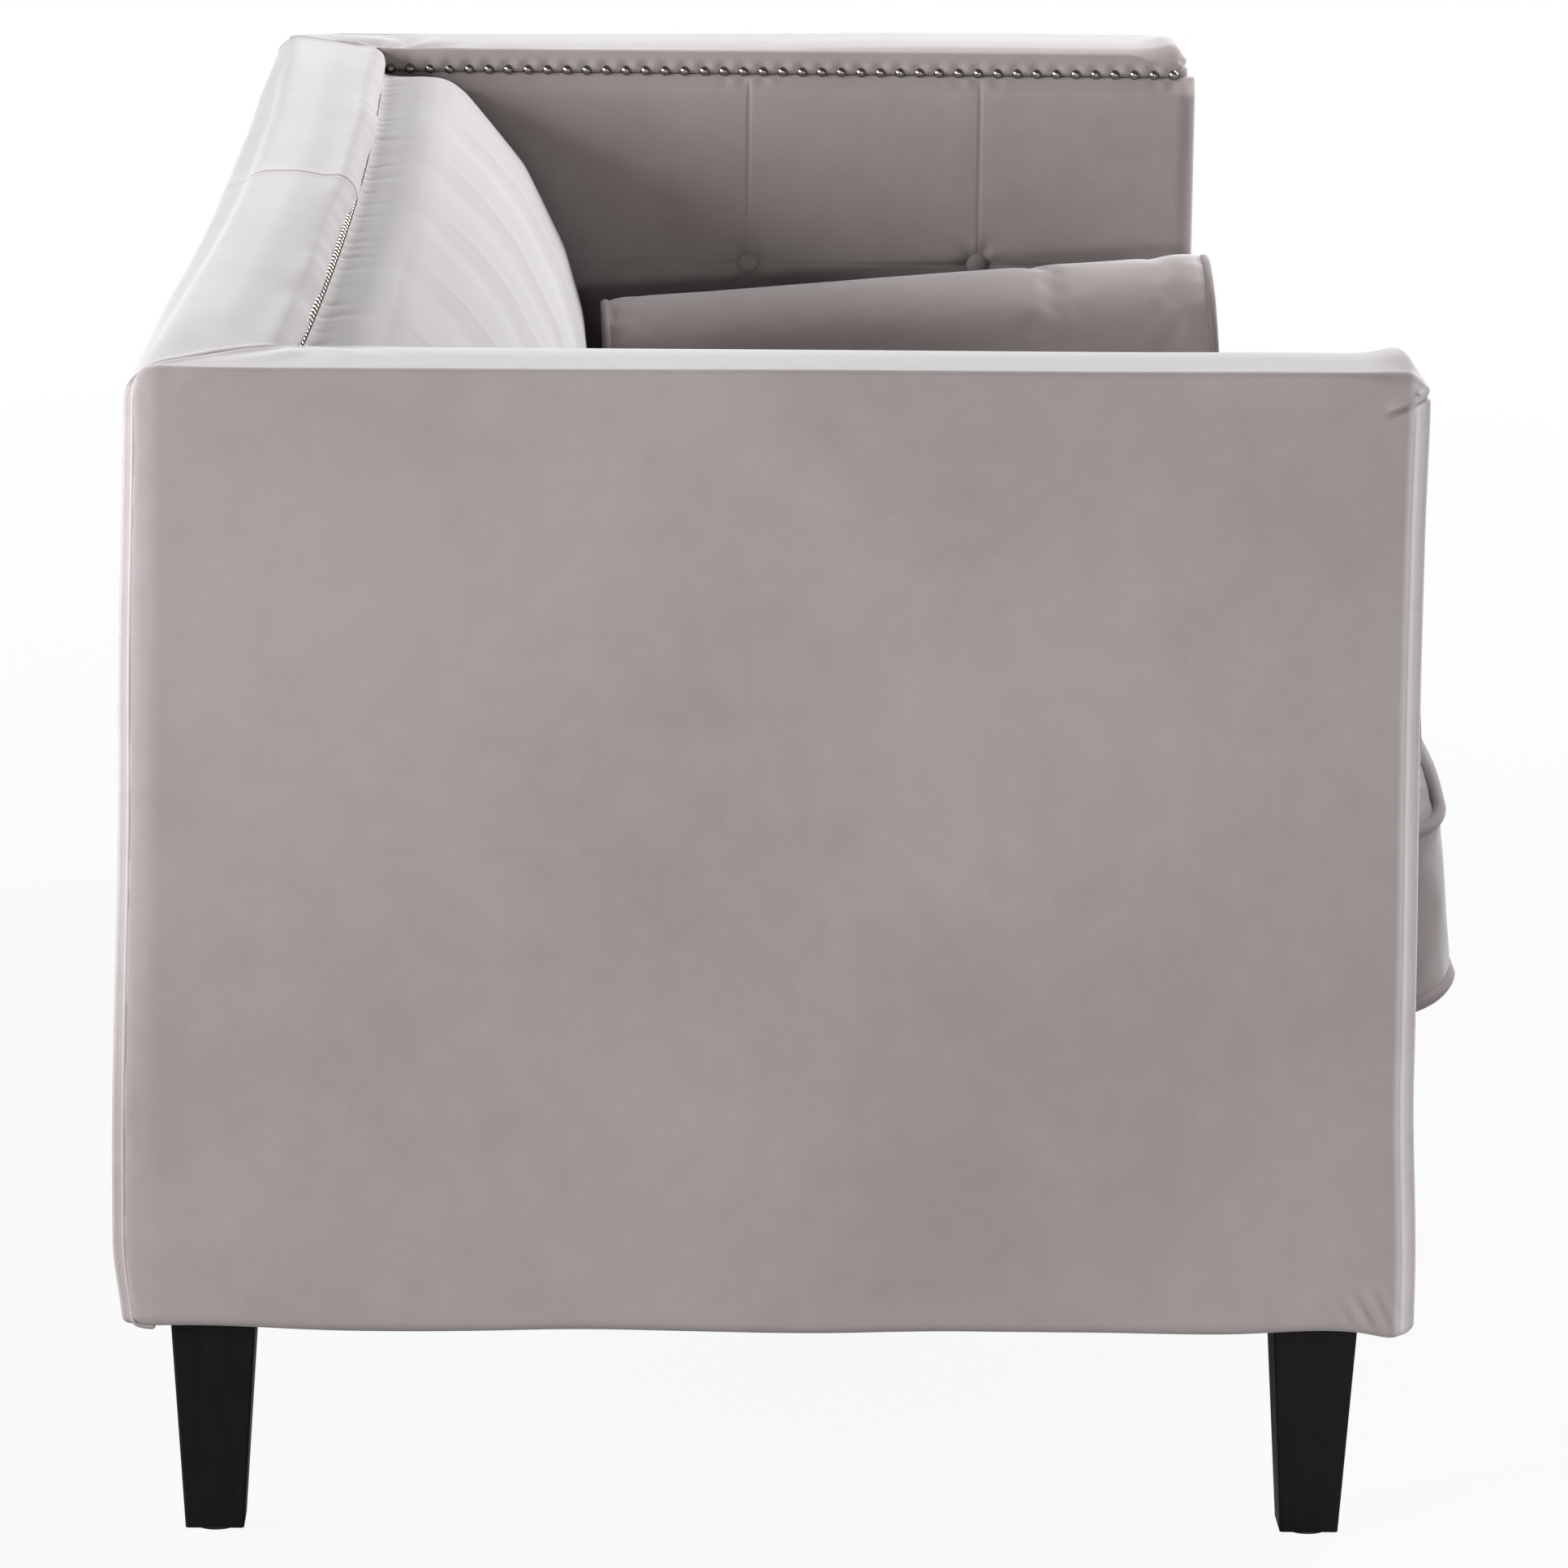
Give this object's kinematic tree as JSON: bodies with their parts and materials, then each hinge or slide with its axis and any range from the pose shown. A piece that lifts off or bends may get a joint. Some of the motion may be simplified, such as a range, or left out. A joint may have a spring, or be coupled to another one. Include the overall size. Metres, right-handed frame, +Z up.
{
  "type": "three-seater sofa",
  "caption": "Velvet sofa with box arms level with its back, domed-nail trim, buttoned inside arms, loose piped seat cushions and bolsters on square tapered legs.",
  "frame": {"origin": "on the floor, at the centre of the whole footprint", "axes": "+X along the length, +Y towards the back so that the sofa faces -Y, +Z up"},
  "size_m": [2.04, 0.849, 0.75],
  "materials": {
    "velvet": "pale warm grey velvet pile with a soft sheen",
    "piping": "velvet-covered cord",
    "deck_cloth": "plain grey platform cloth over a pad",
    "dust_cloth": "black dust cloth",
    "webbing": "woven strap",
    "leg_wood": "near-black satin lacquer",
    "frame_wood": "sawn timber",
    "panel_board": "hardboard",
    "nail_metal": "polished nickel",
    "steel": "zinc-plated",
    "glide_plastic": "moulded"
  },
  "bodies": {
    "frame": {"arm_buttons": "velvet", "back_bottom_rail": "frame_wood", "back_cover": "velvet", "back_nails": "nail_metal", "back_pad": "velvet", "back_top_board": "frame_wood", "back_webbing": "webbing", "corner_blocks": "frame_wood", "corner_screws": "steel", "dust_cover": "dust_cloth", "front_border": "velvet", "front_seat_rail": "frame_wood", "left_arm_cover": "velvet", "left_arm_front_post": "frame_wood", "left_arm_nails": "nail_metal", "left_arm_pad": "velvet", "left_arm_panel": "panel_board", "left_arm_top_board": "frame_wood", "left_back_upright": "frame_wood", "left_cross_rail": "frame_wood", "left_rear_post": "frame_wood", "left_side_rail": "frame_wood", "leg_bolts": "steel", "leg_front_left": "leg_wood", "leg_front_right": "leg_wood", "leg_glides": "glide_plastic", "leg_rear_left": "leg_wood", "leg_rear_right": "leg_wood", "leg_tee_nuts": "steel", "rear_seat_rail": "frame_wood", "right_arm_cover": "velvet", "right_arm_front_post": "frame_wood", "right_arm_nails": "nail_metal", "right_arm_pad": "velvet", "right_arm_panel": "panel_board", "right_arm_top_board": "frame_wood", "right_back_upright": "frame_wood", "right_cross_rail": "frame_wood", "right_rear_post": "frame_wood", "right_side_rail": "frame_wood", "seat_deck": "deck_cloth", "seat_springs": "steel", "spring_clips": "steel"},
    "left_cushion": {"left_seat_cushion": "velvet", "left_seat_piping": "piping"},
    "centre_cushion": {"centre_seat_cushion": "velvet", "centre_seat_piping": "piping"},
    "right_cushion": {"right_seat_cushion": "velvet", "right_seat_piping": "piping"},
    "left_bolster": {"left_bolster": "velvet", "left_bolster_piping": "piping"},
    "right_bolster": {"right_bolster": "velvet", "right_bolster_piping": "piping"}
  },
  "joints": [
    {"name": "left_cushion_lift", "type": "slide", "parent": "frame", "child": "left_cushion", "axis": [0, 0, 1], "range_m": [0, 0.5]},
    {"name": "centre_cushion_lift", "type": "slide", "parent": "frame", "child": "centre_cushion", "axis": [0, 0, 1], "range_m": [0, 0.5]},
    {"name": "right_cushion_lift", "type": "slide", "parent": "frame", "child": "right_cushion", "axis": [0, 0, 1], "range_m": [0, 0.5]},
    {"name": "left_bolster_lift", "type": "slide", "parent": "left_cushion", "child": "left_bolster", "axis": [0, 0, 1], "range_m": [0, 0.36]},
    {"name": "right_bolster_lift", "type": "slide", "parent": "right_cushion", "child": "right_bolster", "axis": [0, 0, 1], "range_m": [0, 0.36]}
  ]
}
